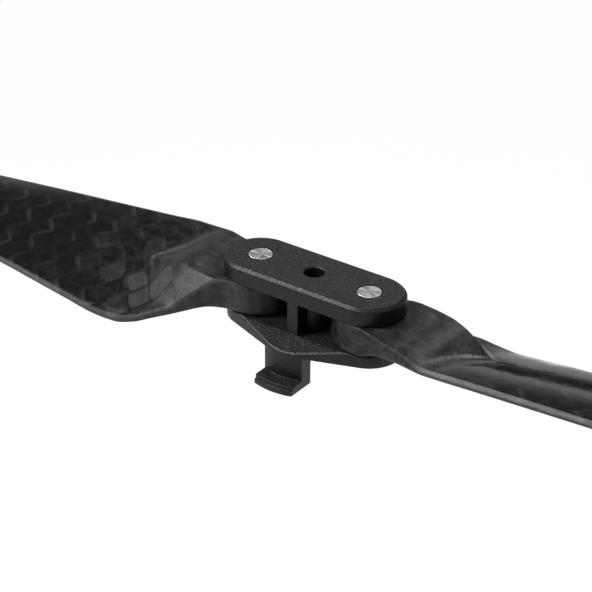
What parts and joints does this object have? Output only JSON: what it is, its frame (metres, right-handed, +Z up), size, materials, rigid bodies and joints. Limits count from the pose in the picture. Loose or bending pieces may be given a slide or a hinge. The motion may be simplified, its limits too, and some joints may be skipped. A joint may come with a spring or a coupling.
{
  "type": "folding drone propeller",
  "caption": "Folding quick-release drone propeller: carbon-fibre blades swing on pins in a moulded hub whose bayonet legs twist on to the motor.",
  "frame": {"origin": "on the spin axis, at the level of the hub's underside, which sits on the motor", "axes": "+Z up along the spin axis, +X along the right-hand blade when the propeller is open"},
  "size_m": [0.2108, 0.0226, 0.0124],
  "materials": {
    "hub_nylon": "fine-grained moulded nylon",
    "pin_steel": "turned end faces",
    "blade_carbon": "semi-gloss carbon-fibre laminate",
    "bush_brass": "machined",
    "washer_plastic": "low-friction sheet"
  },
  "bodies": {
    "hub": {"hub": "hub_nylon", "pivot_pin_left": "pin_steel", "pivot_pin_right": "pin_steel"},
    "blade_left": {"blade_left": "blade_carbon", "root_bush_left": "bush_brass", "washer_upper_left": "washer_plastic", "washer_lower_left": "washer_plastic"},
    "blade_right": {"blade_right": "blade_carbon", "root_bush_right": "bush_brass", "washer_upper_right": "washer_plastic", "washer_lower_right": "washer_plastic"}
  },
  "joints": [
    {"name": "blade_left_swing", "type": "hinge", "parent": "hub", "child": "blade_left", "pos_m": [-0.008, 0, 0.0038], "axis": [0, 0, 1], "range_deg": [-90, 90]},
    {"name": "blade_right_swing", "type": "hinge", "parent": "hub", "child": "blade_right", "pos_m": [0.008, 0, 0.0038], "axis": [0, 0, 1], "range_deg": [-90, 90]}
  ]
}
